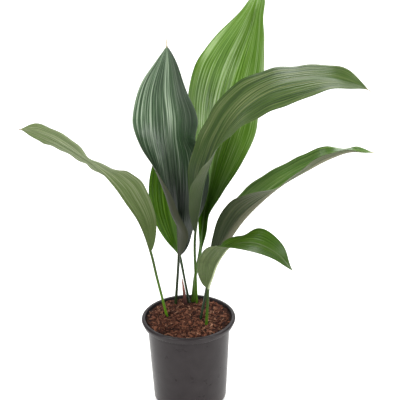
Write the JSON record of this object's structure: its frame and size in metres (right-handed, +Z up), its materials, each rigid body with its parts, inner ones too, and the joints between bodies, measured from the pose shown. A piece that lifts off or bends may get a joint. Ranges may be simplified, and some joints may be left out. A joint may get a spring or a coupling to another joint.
{
  "type": "potted cast iron plant",
  "caption": "Cast iron plant in a round plastic nursery pot, with long broad leaves on thin stalks that stand in coir soil.",
  "frame": {"origin": "centre of the pot's resting face", "axes": "+Z up along the pot's axis, -Y towards the side that the leaves are seen from, +X to the right from there"},
  "size_m": [0.5133, 0.2501, 0.6532],
  "materials": {
    "pot_plastic": "matte",
    "coir_soil": "rough",
    "leaf_green": "satin",
    "dry_sheath": "matte"
  },
  "bodies": {
    "root": {"pot": "pot_plastic", "soil": "coir_soil", "shoot_sheath": "dry_sheath", "leaf_tall_front": "leaf_green", "leaf_tall_back": "leaf_green", "leaf_back_short": "leaf_green", "leaf_arch_right": "leaf_green", "leaf_left": "leaf_green", "leaf_low_right": "leaf_green", "leaf_small": "leaf_green"}
  },
  "joints": []
}
